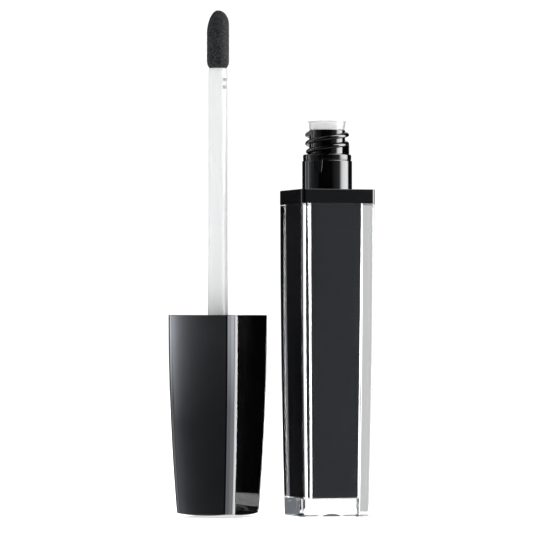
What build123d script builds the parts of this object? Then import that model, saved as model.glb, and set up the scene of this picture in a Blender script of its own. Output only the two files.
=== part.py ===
from build123d import *

import math
import os

# Square lip gloss tube, open, with its applicator wand standing upside down on its closed end beside it.
# Millimetres. The origin is the centre of the tube's underside, +Z is up, and the tube's four faces look
# along X and Y. The wand's pieces are drawn where they stand: their heights count from its closed end.

os.makedirs("parts", exist_ok=True)

# ---- driving dimensions: tube ----
case_height = 70.6
case_top_width = 17.4
case_base_width = 15.8
case_corner_radius = 0.95
case_floor_height = 4.0
recess_radius = 3.4
recess_depth = 0.9

cavity_top_width = 12.3
cavity_floor_width = 11.1
cavity_corner_radius = 0.4

vial_gap = 0.08
vial_wall = 0.8
gloss_level = 58.0
gloss_gap = 0.02

flange_width = 13.8
flange_thickness = 1.0
plug_depth = 4.0
barrel_radius = 5.68
barrel_top = 80.5
groove_radius = 5.45
groove_width = 0.2
ring_radius = 5.5
ring_top = 81.9
ring_chamfer = 0.25
neck_radius = 4.1
neck_top = 87.45
neck_bore_radius = 3.3

thread_starts = 2
thread_lead = 4.0
thread_crest_radius = 5.02
thread_turns = 1.12
thread_low = 82.5
thread_start_angle = -33.0
thread_root_width = 1.5
thread_crest_width = 0.35
thread_flank_width = 0.2

lug_angle = -129.0
lug_width_top = 2.4
lug_width_bottom = 1.9
lug_height = 2.9
lug_reach = 0.35
rib_angle = -31.0
rib_width = 0.8
rib_height = 2.3
rib_reach = 4.82

collar_width = 17.5
collar_height = 3.25
collar_edge = 0.2
fit_gap = 0.05

wiper_top = 89.45
wiper_rim_radius = 4.3
wiper_foot_radius = 4.06
wiper_sleeve_radius = 3.25
wiper_bore_radius = 2.55
wiper_mouth_radius = 3.4
wiper_lip_radius = 1.95
wiper_lip_thickness = 0.35
wiper_cone_top = 81.6
wiper_bottom = 79.6

# ---- driving dimensions: wand ----
wand_x = -25.1
wand_y = 2.45
wand_turn = 45.0

cap_height = 45.5
cap_mouth_width = 17.5
cap_end_width = 14.6
cap_corner_radius = 2.1
cap_dome_radius = 50.0
cap_end_fillet = 0.35
cap_end_thickness = 2.0
shell_mouth_width = 15.2
shell_end_width = 12.2
shell_corner_radius = 1.2

liner_top = 45.2
liner_flange_width = 15.0
liner_flange_thickness = 1.2
liner_skirt_outer_radius = 6.9
liner_skirt_radius = 6.15
liner_skirt_low = 37.5
liner_skirt_outer_low = 36.3
liner_thread_outer_radius = 6.2
liner_thread_radius = 5.2
liner_minor_radius = 4.45
liner_seat_height = 29.4
liner_floor_height = 26.6
liner_rib_width = 1.2
liner_rib_span = 13.7
socket_outer_radius = 3.6
socket_radius = 2.3
socket_floor_height = 21.5
socket_low = 20.3
inner_thread_low = 32.4
inner_thread_turns = 1.0
closed_gap = 0.3

gasket_radius = 5.1
gasket_hole_radius = 2.4
gasket_top = 30.2

stem_foot_radius = 2.27
stem_radius = 2.14
stem_taper_low = 44.0
stem_taper_high = 60.0
stem_top = 101.2
stem_chamfer = 0.8
stem_chamfer_depth = 0.25
stem_bore_radius = 1.2
stem_bore_low = 26.0
window_angle = -52.0
window_width = 1.7
window_low = 96.5
window_height = 2.5

tip_top = 114.3
tip_radius = 2.58
tip_nose_height = 3.3
tip_nose_fullness = 0.82
tip_nose_rise = 0.57
tip_shoulder_height = 1.5
tip_plug_radius = 1.17
tip_plug_length = 8.0
tip_slant = 15.0
tip_slant_angle = 163.0
tip_slant_height = 109.9
flock_thickness = 0.42
flock_gap = 0.02
barb_reach = 1.95
barb_width = 1.1
barb_height = 1.0

# ---- planes and axes of the wand ----
wand_base = Plane(
    origin=(wand_x, wand_y, 0),
    x_dir=(math.cos(math.radians(wand_turn)), math.sin(math.radians(wand_turn)), 0),
    z_dir=(0, 0, 1),
)
wand_front = Plane(origin=wand_base.origin, x_dir=wand_base.x_dir, z_dir=-wand_base.y_dir)
wand_side = Plane(origin=wand_base.origin, x_dir=wand_base.y_dir, z_dir=wand_base.x_dir)
wand_axis = Axis(wand_base.origin, (0, 0, 1))


def bowed_outline(plane, wide, narrow, wide_height, narrow_height):
    """Face of half widths wide and narrow, whose bowed sides stand upright at the wide end."""
    middle = wide - (wide - narrow) / 4
    middle_height = (wide_height + narrow_height) / 2
    with BuildSketch(plane) as outline:
        with BuildLine():
            Line((-narrow, narrow_height), (narrow, narrow_height))
            ThreePointArc((narrow, narrow_height), (middle, middle_height), (wide, wide_height))
            Line((wide, wide_height), (-wide, wide_height))
            ThreePointArc((-wide, wide_height), (-middle, middle_height), (-narrow, narrow_height))
        make_face()
    return outline.sketch


def tapered_block(plane, low, low_width, high, high_width, corner_radius):
    """Square block with rounded corners between two heights, straight from one width to the other."""
    with BuildPart() as block:
        with BuildSketch(plane.offset(low)):
            RectangleRounded(low_width, low_width, corner_radius)
        with BuildSketch(plane.offset(high)):
            RectangleRounded(high_width, high_width, corner_radius)
        loft(ruled=True)
    return block.part


def thread_ridge(root, crest, root_width, crest_width, flank_width, lead, turns):
    """One helical ridge about Z from +X upwards; crest is outside root on a neck and inside it in a cap."""
    inset = 0.15 if crest > root else -0.15
    with BuildPart() as ridge:
        with BuildLine():
            path = Helix(lead, lead * turns, root)
        with BuildSketch(Plane(origin=path @ 0, x_dir=(1, 0, 0), z_dir=path % 0)):
            with BuildLine():
                Polyline(
                    (-inset, -root_width / 2),
                    (0, -root_width / 2),
                    (crest - root, -root_width / 2 + flank_width),
                    (crest - root, -root_width / 2 + flank_width + crest_width),
                    (0, root_width / 2),
                    (-inset, root_width / 2),
                    close=True,
                )
            make_face()
        sweep(path=path, is_frenet=True)
    return ridge.part


def radial_plane(axis_plane, angle, height):
    """Plane at a height whose X runs outwards from the axis at an angle counted from the row's X."""
    direction = (math.cos(math.radians(angle)), math.sin(math.radians(angle)), 0)
    origin = (axis_plane.origin.X, axis_plane.origin.Y, height)
    return Plane(origin=origin, x_dir=direction, z_dir=(0, 0, 1))


def cavity_width(height):
    """Width of the clear case's cavity at a height."""
    share = (height - case_floor_height) / (case_height - case_floor_height)
    return cavity_floor_width + (cavity_top_width - cavity_floor_width) * share


# ---- clear outer case ----
with BuildPart() as outer_case:
    front_outline = bowed_outline(Plane.XZ, case_top_width / 2, case_base_width / 2, case_height, 0)
    side_outline = bowed_outline(Plane.YZ, case_top_width / 2, case_base_width / 2, case_height, 0)
    extrude(front_outline, case_top_width, both=True)
    extrude(side_outline, case_top_width, both=True, mode=Mode.INTERSECT)
    fillet(outer_case.edges().group_by(SortBy.LENGTH)[-1], case_corner_radius)
    cavity = tapered_block(
        Plane.XY,
        case_floor_height,
        cavity_floor_width,
        case_height,
        cavity_top_width,
        cavity_corner_radius,
    )
    add(cavity, mode=Mode.SUBTRACT)
    recess_sphere = (recess_radius**2 + recess_depth**2) / (2 * recess_depth)
    with Locations((0, 0, recess_depth - recess_sphere)):
        Sphere(recess_sphere, mode=Mode.SUBTRACT)
outer_case.part.label = "outer_case"
export_step(outer_case.part, "parts/outer_case.step")

# ---- dark inner vial, hung on the neck's plug with a thin air gap to the case all round ----
vial_low = case_floor_height + vial_gap
vial_low_width = cavity_width(vial_low) - 2 * vial_gap
vial_top_width = cavity_top_width - 2 * vial_gap
vial_floor = vial_low + vial_wall
hollow_low_width = cavity_width(vial_floor) - 2 * vial_gap - 2 * vial_wall
hollow_top_width = vial_top_width - 2 * vial_wall
hollow_corner_radius = cavity_corner_radius / 2
with BuildPart() as inner_vial:
    add(tapered_block(Plane.XY, vial_low, vial_low_width, case_height, vial_top_width, cavity_corner_radius))
    hollow = tapered_block(
        Plane.XY,
        vial_floor,
        hollow_low_width,
        case_height,
        hollow_top_width,
        hollow_corner_radius,
    )
    add(hollow, mode=Mode.SUBTRACT)
inner_vial.part.label = "inner_vial"
export_step(inner_vial.part, "parts/inner_vial.step")

# ---- gloss, a viscous fill up to its level ----
gloss_low = vial_floor + gloss_gap
gloss_low_width = hollow_low_width - 2 * gloss_gap
level_width = cavity_width(gloss_level) - 2 * (vial_gap + vial_wall + gloss_gap)
with BuildPart() as gloss_fill:
    add(tapered_block(Plane.XY, gloss_low, gloss_low_width, gloss_level, level_width, hollow_corner_radius))
gloss_fill.part.label = "gloss_fill"
export_step(gloss_fill.part, "parts/gloss_fill.step")

# ---- neck insert: square plug and flange, round barrel, bead ring and two-start threaded neck ----
flange_top = case_height + flange_thickness
plug_width = hollow_top_width - 4 * fit_gap
with BuildPart() as neck_insert:
    with BuildSketch(Plane.XY.offset(case_height - plug_depth)):
        RectangleRounded(plug_width, plug_width, hollow_corner_radius)
    extrude(amount=plug_depth)
    with BuildSketch(Plane.XY.offset(case_height)):
        RectangleRounded(flange_width, flange_width, cavity_corner_radius)
    extrude(amount=flange_thickness)
    with BuildSketch(Plane.XZ):
        with BuildLine():
            Polyline(
                (0, flange_top),
                (barrel_radius, flange_top),
                (barrel_radius, barrel_top),
                (groove_radius, barrel_top),
                (groove_radius, barrel_top + groove_width),
                (ring_radius, barrel_top + groove_width),
                (ring_radius, ring_top - ring_chamfer),
                (ring_radius - ring_chamfer, ring_top),
                (neck_radius, ring_top),
                (neck_radius, neck_top),
                (0, neck_top),
                close=True,
            )
        make_face()
    revolve(axis=Axis.Z)
    neck_ridge = thread_ridge(
        neck_radius,
        thread_crest_radius,
        thread_root_width,
        thread_crest_width,
        thread_flank_width,
        thread_lead,
        thread_turns,
    )
    for start in range(thread_starts):
        start_angle = thread_start_angle + 360 * start / thread_starts
        with Locations(Location((0, 0, thread_low), (0, 0, start_angle))):
            add(neck_ridge)
    lug_plane = radial_plane(Plane.XY, lug_angle, barrel_top - lug_height)
    with BuildSketch(Plane(origin=lug_plane.origin, x_dir=lug_plane.y_dir, z_dir=lug_plane.x_dir)):
        with BuildLine():
            Polyline(
                (-lug_width_bottom / 2, 0),
                (lug_width_bottom / 2, 0),
                (lug_width_top / 2, lug_height),
                (-lug_width_top / 2, lug_height),
                close=True,
            )
        make_face()
    extrude(amount=barrel_radius + lug_reach)
    with BuildSketch(radial_plane(Plane.XY, rib_angle, ring_top)):
        with Locations((rib_reach / 2, 0)):
            Rectangle(rib_reach, rib_width)
    extrude(amount=rib_height)
    with BuildSketch(Plane.XY.offset(neck_top)):
        Circle(flange_width)
    extrude(amount=thread_lead, mode=Mode.SUBTRACT)
    with BuildSketch(Plane.XY.offset(case_height - plug_depth)):
        Circle(neck_bore_radius)
    extrude(amount=neck_top - case_height + plug_depth, mode=Mode.SUBTRACT)
neck_insert.part.label = "neck_insert"
export_step(neck_insert.part, "parts/neck_insert.step")

# ---- square shoulder collar over the flange ----
collar_top = case_height + collar_height
with BuildPart() as shoulder_collar:
    with BuildSketch(Plane.XY.offset(case_height)):
        RectangleRounded(collar_width, collar_width, case_corner_radius)
    extrude(amount=collar_height)
    chamfer(shoulder_collar.faces().sort_by(Axis.Z)[-1].edges(), collar_edge)
    with BuildSketch(Plane.XY.offset(case_height)):
        Circle(barrel_radius + fit_gap)
    extrude(amount=collar_height, mode=Mode.SUBTRACT)
    with BuildSketch(Plane.XY.offset(case_height)):
        RectangleRounded(flange_width + 2 * fit_gap, flange_width + 2 * fit_gap, cavity_corner_radius)
    extrude(amount=flange_thickness + fit_gap, mode=Mode.SUBTRACT)
shoulder_collar.part.label = "shoulder_collar"
export_step(shoulder_collar.part, "parts/shoulder_collar.step")

# ---- wiper: flange on the neck's end, sleeve in its bore and a thin lip that strips the stem ----
with BuildPart() as wiper:
    with BuildSketch(Plane.XZ):
        with BuildLine():
            Polyline(
                (wiper_mouth_radius, wiper_top),
                (wiper_rim_radius, wiper_top),
                (wiper_foot_radius, neck_top),
                (wiper_sleeve_radius, neck_top),
                (wiper_sleeve_radius, wiper_cone_top),
                (wiper_lip_radius + wiper_lip_thickness, wiper_bottom),
                (wiper_lip_radius, wiper_bottom),
                (wiper_bore_radius, wiper_cone_top),
                (wiper_bore_radius, neck_top),
                close=True,
            )
        make_face()
    revolve(axis=Axis.Z)
wiper.part.label = "wiper"
export_step(wiper.part, "parts/wiper.step")

# ---- cap shell: tapered square handle with a slightly domed closed end ----
with BuildPart() as cap_shell:
    front_outline = bowed_outline(wand_front, cap_mouth_width / 2, cap_end_width / 2, cap_height, 0)
    side_outline = bowed_outline(wand_side, cap_mouth_width / 2, cap_end_width / 2, cap_height, 0)
    extrude(front_outline, cap_mouth_width, both=True)
    extrude(side_outline, cap_mouth_width, both=True, mode=Mode.INTERSECT)
    fillet(cap_shell.edges().group_by(SortBy.LENGTH)[-1], cap_corner_radius)
    with Locations((wand_x, wand_y, cap_dome_radius)):
        Sphere(cap_dome_radius, mode=Mode.INTERSECT)
    fillet(cap_shell.faces().sort_by(Axis.Z)[0].edges(), cap_end_fillet)
    shell_hollow = tapered_block(
        wand_base,
        cap_end_thickness,
        shell_end_width,
        cap_height,
        shell_mouth_width,
        shell_corner_radius,
    )
    add(shell_hollow, mode=Mode.SUBTRACT)
cap_shell.part.label = "cap_shell"
export_step(cap_shell.part, "parts/cap_shell.step")

# ---- cap liner: skirt over the neck's barrel, two-start inner thread and the stem's socket ----
# Closed, the wand is turned upside down about its own X over the tube. Its ridges then lie midway between the
# neck's, which sets the angle at which they start here.
closed_height = case_height + collar_height + closed_gap + cap_height
inner_thread_phase = closed_height - thread_low - thread_lead / 4 - inner_thread_low
inner_start_angle = wand_turn - thread_start_angle - 360 * inner_thread_phase / thread_lead
with BuildPart() as cap_liner:
    with BuildSketch(wand_base.offset(liner_top - liner_flange_thickness)):
        RectangleRounded(liner_flange_width, liner_flange_width, shell_corner_radius)
    extrude(amount=liner_flange_thickness)
    with BuildSketch(wand_base.offset(liner_floor_height)):
        Rectangle(liner_rib_span, liner_rib_width)
        Rectangle(liner_rib_width, liner_rib_span)
    extrude(amount=liner_top - liner_floor_height)
    with BuildSketch(wand_front):
        with BuildLine():
            Polyline(
                (0, socket_low),
                (socket_outer_radius, socket_low),
                (socket_outer_radius, liner_floor_height),
                (liner_thread_outer_radius, liner_floor_height),
                (liner_thread_outer_radius, liner_skirt_outer_low),
                (liner_skirt_outer_radius, liner_skirt_outer_low),
                (liner_skirt_outer_radius, liner_top),
                (0, liner_top),
                close=True,
            )
        make_face()
    revolve(axis=wand_axis)
    with BuildSketch(wand_front):
        with BuildLine():
            Polyline(
                (0, socket_floor_height),
                (socket_radius, socket_floor_height),
                (socket_radius, liner_seat_height),
                (liner_thread_radius, liner_seat_height),
                (liner_thread_radius, liner_skirt_low),
                (liner_skirt_radius, liner_skirt_low),
                (liner_skirt_radius, liner_top),
                (0, liner_top),
                close=True,
            )
        make_face()
    revolve(axis=wand_axis, mode=Mode.SUBTRACT)
    cap_ridge = thread_ridge(
        liner_thread_radius,
        liner_minor_radius,
        thread_root_width - thread_crest_width,
        thread_crest_width,
        thread_flank_width,
        thread_lead,
        inner_thread_turns,
    )
    for start in range(thread_starts):
        start_angle = inner_start_angle + 360 * start / thread_starts
        with Locations(Location((wand_x, wand_y, inner_thread_low), (0, 0, start_angle))):
            add(cap_ridge)
cap_liner.part.label = "cap_liner"
export_step(cap_liner.part, "parts/cap_liner.step")

# ---- gasket: loose washer on the liner's seat, free to turn in it ----
with BuildPart() as liner_gasket:
    with BuildSketch(wand_base.offset(liner_seat_height + fit_gap)):
        Circle(gasket_radius)
        Circle(gasket_hole_radius, mode=Mode.SUBTRACT)
    extrude(amount=gasket_top - liner_seat_height - fit_gap)
liner_gasket.part.label = "liner_gasket"
export_step(liner_gasket.part, "parts/liner_gasket.step")

# ---- hollow stem with a snap window near its end ----
with BuildPart() as stem:
    with BuildSketch(wand_front):
        with BuildLine():
            Polyline(
                (0, socket_floor_height),
                (stem_foot_radius, socket_floor_height),
                (stem_foot_radius, stem_taper_low),
                (stem_radius, stem_taper_high),
                (stem_radius, stem_top - stem_chamfer),
                (stem_radius - stem_chamfer_depth, stem_top),
                (0, stem_top),
                close=True,
            )
        make_face()
    revolve(axis=wand_axis)
    with BuildSketch(wand_base.offset(stem_bore_low)):
        Circle(stem_bore_radius)
    extrude(amount=stem_top - stem_bore_low, mode=Mode.SUBTRACT)
    with BuildSketch(radial_plane(wand_base, window_angle, window_low)):
        with Locations((stem_radius, 0)):
            Rectangle(2 * (stem_radius - stem_bore_radius / 2), window_width)
    extrude(amount=window_height, mode=Mode.SUBTRACT)
stem.part.label = "stem"
export_step(stem.part, "parts/stem.step")


def tip_body(radius, low, top):
    """Round applicator body with a rounded nose, its shoulder drawn in to the stem and one slanted side."""
    skin = tip_radius - radius
    with BuildPart() as body:
        with BuildSketch(wand_front):
            with BuildLine():
                Line((0, low), (stem_radius - stem_chamfer_depth, low))
                Line((stem_radius - stem_chamfer_depth, low), (radius, low + tip_shoulder_height))
                Line((radius, low + tip_shoulder_height), (radius, top - tip_nose_height))
                Spline(
                    (radius, top - tip_nose_height),
                    (radius * tip_nose_fullness, top - tip_nose_height * (1 - tip_nose_rise)),
                    (0, top),
                    tangents=[(0, 1), (-1, 0)],
                )
                Line((0, top), (0, low))
            make_face()
        revolve(axis=wand_axis)
        slant = math.radians(tip_slant)
        slant_base = radial_plane(wand_base, tip_slant_angle, tip_slant_height)
        foot = slant_base.origin + slant_base.x_dir * (tip_radius - skin / math.cos(slant))
        slant_normal = slant_base.x_dir * math.cos(slant) + slant_base.z_dir * math.sin(slant)
        split(bisect_by=Plane(origin=foot, z_dir=slant_normal), keep=Keep.BOTTOM)
    return body.part


# ---- applicator core: plug and barb in the stem, body under the flock ----
with BuildPart() as tip_core:
    add(tip_body(tip_radius - flock_thickness - flock_gap, stem_top, tip_top - flock_thickness - flock_gap))
    with BuildSketch(wand_base.offset(stem_top - tip_plug_length)):
        Circle(tip_plug_radius)
    extrude(amount=tip_plug_length)
    with BuildSketch(radial_plane(wand_base, window_angle, window_low + (window_height - barb_height) / 2)):
        with Locations((barb_reach / 2, 0)):
            Rectangle(barb_reach, barb_width)
    extrude(amount=barb_height)
tip_core.part.label = "tip_core"
export_step(tip_core.part, "parts/tip_core.step")

# ---- flocked skin of the applicator ----
with BuildPart() as flock_sleeve:
    add(tip_body(tip_radius, stem_top, tip_top))
    add(tip_body(tip_radius - flock_thickness, stem_top, tip_top - flock_thickness), mode=Mode.SUBTRACT)
flock_sleeve.part.label = "flock_sleeve"
export_step(flock_sleeve.part, "parts/flock_sleeve.step")
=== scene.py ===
"""Looks of a square lip gloss tube that stands open beside its applicator wand.

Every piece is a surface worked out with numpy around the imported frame: lofts of rounded squares for the case, the
vial, the collar and the cap, turned profiles for the wiper, the washer and the stem, ridges carried along a helix for
the two threads, and single fibres for the flock. Meshes are in metres in the frame's own axes, and the sizes that the
tube and the wand keep are in millimetres.
"""

import logging  # noqa: E402
import math  # noqa: E402
from dataclasses import dataclass, field  # noqa: E402
from enum import Enum  # noqa: E402
from typing import Any, Callable, Optional, Sequence, Union  # noqa: E402

import bpy  # noqa: E402
import numpy as np  # noqa: E402
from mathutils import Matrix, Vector  # noqa: E402


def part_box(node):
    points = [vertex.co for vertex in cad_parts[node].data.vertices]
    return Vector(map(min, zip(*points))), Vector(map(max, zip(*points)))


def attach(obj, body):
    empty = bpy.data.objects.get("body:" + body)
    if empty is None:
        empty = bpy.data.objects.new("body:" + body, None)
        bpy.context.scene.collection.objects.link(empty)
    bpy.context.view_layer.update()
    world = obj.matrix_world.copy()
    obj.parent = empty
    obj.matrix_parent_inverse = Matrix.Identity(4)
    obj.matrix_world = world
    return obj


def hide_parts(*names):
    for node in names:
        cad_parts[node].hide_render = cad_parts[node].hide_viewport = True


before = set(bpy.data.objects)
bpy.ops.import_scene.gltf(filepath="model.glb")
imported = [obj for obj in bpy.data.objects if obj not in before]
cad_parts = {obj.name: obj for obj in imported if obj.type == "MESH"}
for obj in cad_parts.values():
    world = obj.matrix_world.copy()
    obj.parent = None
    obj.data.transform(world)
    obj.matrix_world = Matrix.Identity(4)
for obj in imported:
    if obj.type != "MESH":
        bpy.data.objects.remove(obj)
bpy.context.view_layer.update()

MM = 0.001
# Rise of both threads in one turn, in millimetres.
THREAD_LEAD = 4.0
# Watts per square metre that give an area light a radiance of about 1.
AREA_GLARE = 3.55
Array = np.ndarray
Colour = tuple[float, float, float, float]
Faces = list[tuple[int, ...]]
Grade = tuple[tuple[float, float], ...]

log = logging.getLogger("gloss_tube")
logging.basicConfig(level=logging.INFO, format="%(name)s: %(message)s")


# ---------------------------------------------------------------------------------------------- profiles and meshes
@dataclass
class Profile:
    """A line in the plane of half width and height, with its direction of travel and its ring's shape.

    The solid lies on the left of the line of travel, so that going up an outer wall its normal points outwards.
    """

    points: Array
    tangents: Array
    roundness: Array

    @property
    def normals(self) -> Array:
        """Unit normals: the tangent turned a quarter turn clockwise, as (half width, height) pairs."""
        return np.stack([self.tangents[:, 1], -self.tangents[:, 0]], axis=1)


def filleted(corners: Sequence[tuple], closed: bool = False, steps: int = 5) -> Profile:
    """Runs a line through corners and rounds each one with its own arc.

    A corner is (half width, height, radius) or (half width, height, radius, roundness), in millimetres. At a corner
    of radius r whose line turns by the angle a, the arc starts r * tan(a / 2) before the corner and ends as far
    after it. A radius of 0 marks a point on a smooth bow, where the direction is the mean of its neighbours'.

    Args:
        corners: the corners in order of travel.
        closed: whether the line comes back to its first corner.
        steps: segments in each arc.

    Returns:
        The rounded line in metres.
    """
    rows = np.array([(*c, 1.0) if len(c) == 3 else c for c in corners], float)
    place, radius, roundness = rows[:, :2], rows[:, 2], rows[:, 3]
    count = len(place)
    points, tangents, rounds = [], [], []
    for i in range(count):
        here = place[i]
        before = place[i - 1] if closed or i > 0 else None
        after = place[(i + 1) % count] if closed or i < count - 1 else None
        d_in = None if before is None else (here - before) / np.linalg.norm(here - before)
        d_out = None if after is None else (after - here) / np.linalg.norm(after - here)
        if d_in is None or d_out is None or radius[i] <= 0:
            pair = [d for d in (d_in, d_out) if d is not None]
            mean = np.sum(pair, axis=0)
            points.append(here)
            tangents.append(mean / np.linalg.norm(mean))
            rounds.append(roundness[i])
            continue
        turn = math.atan2(d_in[0] * d_out[1] - d_in[1] * d_out[0], float(d_in @ d_out))
        reach = radius[i] * math.tan(abs(turn) / 2)
        side = math.copysign(1.0, turn)
        start = here - d_in * reach
        centre = start + side * radius[i] * np.array([-d_in[1], d_in[0]])
        for angle in np.linspace(0.0, turn, steps + 1):
            c, s = math.cos(angle), math.sin(angle)
            direction = np.array([c * d_in[0] - s * d_in[1], s * d_in[0] + c * d_in[1]])
            points.append(centre - side * radius[i] * np.array([-direction[1], direction[0]]))
            tangents.append(direction)
            rounds.append(roundness[i])
    return Profile(np.array(points) * MM, np.array(tangents), np.array(rounds))


def bow(wide: float, narrow: float, top: float, count: int) -> list[tuple]:
    """Points on a side that rises from a narrow foot and stands upright at its wide top.

    Its half width falls short of the top's by the square of the share of the way down.

    Args:
        wide: half width at the top, in millimetres.
        narrow: half width at the foot.
        top: height of the top.
        count: number of points between the two ends.

    Returns:
        Smooth profile corners from the foot up, without the two ends.
    """
    share = np.linspace(0, 1, count + 2)[1:-1][::-1]
    return [(h, z, 0.0, 0.0) for h, z in zip(wide - (wide - narrow) * share**2, top - top * share)]


def rounded_square(flat_steps: int, corner_steps: int) -> tuple[Array, Array]:
    """Unit pieces of a square ring, counter-clockwise from the middle of its +X side.

    Args:
        flat_steps: segments along each flat side.
        corner_steps: segments round each corner.

    Returns:
        The places, from -1 to 1 on each axis, and the outward directions, both (count, 2). A ring of half width h
        and corner radius r is (h - r) * places + r * directions.
    """
    places, directions = [], []
    flat = np.linspace(-1, 1, flat_steps + 1)
    arc = np.linspace(-math.pi / 4, math.pi / 4, corner_steps + 1)[1:-1]
    for quarter in range(4):
        turn = quarter * math.pi / 2
        out = np.array([math.cos(turn), math.sin(turn)])
        along = np.array([-out[1], out[0]])
        places.extend(out + along * f for f in flat)
        directions.extend(out for _ in flat)
        diagonal = turn + math.pi / 4
        places.extend(out + along for _ in arc)
        directions.extend(np.array([math.cos(diagonal + a), math.sin(diagonal + a)]) for a in arc)
    return np.array(places), np.array(directions)


@dataclass
class Stand:
    """Where a piece's axis stands, and how far it is turned about it."""

    x: float = 0.0
    y: float = 0.0
    turn: float = 0.0

    def place(self, points: Array) -> Array:
        """Turns points about the axis by the stand's angle and moves them to it."""
        return self.aim(points) + np.array([self.x, self.y, 0.0])

    def aim(self, vectors: Array) -> Array:
        """Turns vectors about Z by the stand's angle: x' = x cos a - y sin a, y' = x sin a + y cos a."""
        c, s = math.cos(self.turn), math.sin(self.turn)
        x, y = vectors[..., 0], vectors[..., 1]
        return np.stack([c * x - s * y, s * x + c * y, vectors[..., 2]], axis=-1)


@dataclass
class Surface:
    """Vertices, faces and vertex normals that are still being gathered for one piece."""

    vertices: Array
    faces: Faces
    normals: Array

    def __add__(self, other: "Surface") -> "Surface":
        """Both surfaces as one, with the second one's faces renumbered."""
        shift = len(self.vertices)
        faces = self.faces + [tuple(i + shift for i in f) for f in other.faces]
        return Surface(np.vstack([self.vertices, other.vertices]), faces, np.vstack([self.normals, other.normals]))

    def on(self, stand: Stand) -> "Surface":
        """The same surface placed on its stand."""
        return Surface(stand.place(self.vertices), self.faces, stand.aim(self.normals))


def grid_faces(rows: int, columns: int, wrap_rows: bool = False) -> Faces:
    """Quads of a grid whose columns close on themselves, each from (i, j) to (i, j+1), (i+1, j+1) and (i+1, j)."""
    i = np.arange(rows if wrap_rows else rows - 1)[:, None]
    j = np.arange(columns)[None, :]
    ahead, beside = (i + 1) % rows, (j + 1) % columns
    quads = np.stack([i * columns + j, i * columns + beside, ahead * columns + beside, ahead * columns + j], axis=-1)
    return [tuple(q) for q in quads.reshape(-1, 4).tolist()]


def sweep_round(profile: Profile, place: Callable[[Array], tuple[Array, Array]], closed: bool) -> Surface:
    """Carries a profile round an axis.

    Args:
        profile: the line to carry.
        place: gives the ring's points and outward directions, as (rows, columns, 2), for the half widths.
        closed: whether the profile's end meets its start.

    Returns:
        The surface: a point is (ring x, ring y, height), and its normal is the ring's outward direction times the
        profile's sideways normal plus Z times its upward normal. An end on the axis becomes one pole vertex.
    """
    half, height = profile.points[:, 0], profile.points[:, 1]
    ring, outward = place(half)
    rows, columns = ring.shape[:2]
    vertices = np.concatenate([ring, np.broadcast_to(height[:, None, None], (rows, columns, 1))], axis=2)
    side, rise = profile.normals[:, 0], profile.normals[:, 1]
    normals = np.concatenate(
        [outward * side[:, None, None], np.broadcast_to(rise[:, None, None], (rows, columns, 1))], axis=2
    )
    if closed:
        return Surface(vertices.reshape(-1, 3), grid_faces(rows, columns, True), normals.reshape(-1, 3))
    first, last = half[0] < 1e-7, half[-1] < 1e-7
    body = slice(1 if first else 0, rows - 1 if last else rows)
    inner = vertices[body]
    faces = grid_faces(len(inner), columns)
    points, directions = inner.reshape(-1, 3), normals[body].reshape(-1, 3)
    step = np.arange(columns)
    if first:
        pole = len(points)
        points = np.vstack([points, [[0, 0, height[0]]]])
        directions = np.vstack([directions, [[0, 0, rise[0]]]])
        faces += [(pole, (j + 1) % columns, j) for j in step]
    if last:
        pole = len(points)
        base = (len(inner) - 1) * columns
        points = np.vstack([points, [[0, 0, height[-1]]]])
        directions = np.vstack([directions, [[0, 0, rise[-1]]]])
        faces += [(base + j, base + (j + 1) % columns, pole) for j in step]
    return Surface(points, faces, directions)


def lathe(profile: Profile, columns: int = 96, closed: bool = False) -> Surface:
    """Turns a profile about Z: a point is (h cos a, h sin a, z) for the angle a."""
    angle = np.linspace(0, 2 * math.pi, columns, endpoint=False)
    circle = np.stack([np.cos(angle), np.sin(angle)], axis=1)

    def place(half: Array) -> tuple[Array, Array]:
        """Circles of the profile's radii."""
        return half[:, None, None] * circle, np.broadcast_to(circle, (len(half), columns, 2))

    return sweep_round(profile, place, closed)


def square_loft(
    profile: Profile, corner: Callable[[Array], Array], closed: bool = False, flats: int = 14, arcs: int = 12
) -> Surface:
    """Lofts rounded squares along a profile.

    A ring is (h - r) * place + r * direction for its half width h and corner radius r. Where the profile's
    roundness is 1 the ring is a circle of radius h through the same directions from the axis.

    Args:
        profile: half widths and heights of the rings.
        corner: corner radius in metres for an array of half widths.
        closed: whether the profile's end meets its start.
        flats: segments along each flat side.
        arcs: segments round each corner.

    Returns:
        The lofted surface.
    """
    places, directions = rounded_square(flats, arcs)
    flat_share = 0.9

    def place(half: Array) -> tuple[Array, Array]:
        """Rounded squares, or circles where the profile says so."""
        radius = np.minimum(corner(half), half)[:, None, None]
        square = (half[:, None, None] - radius) * places + radius * directions
        reference = places * flat_share + directions * (1 - flat_share)
        polar = reference / np.linalg.norm(reference, axis=1, keepdims=True)
        share = profile.roundness[:, None, None]
        ring = square * (1 - share) + half[:, None, None] * polar * share
        outward = directions * (1 - share) + polar * share
        return ring, outward / np.linalg.norm(outward, axis=2, keepdims=True)

    return sweep_round(profile, place, closed)


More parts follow.
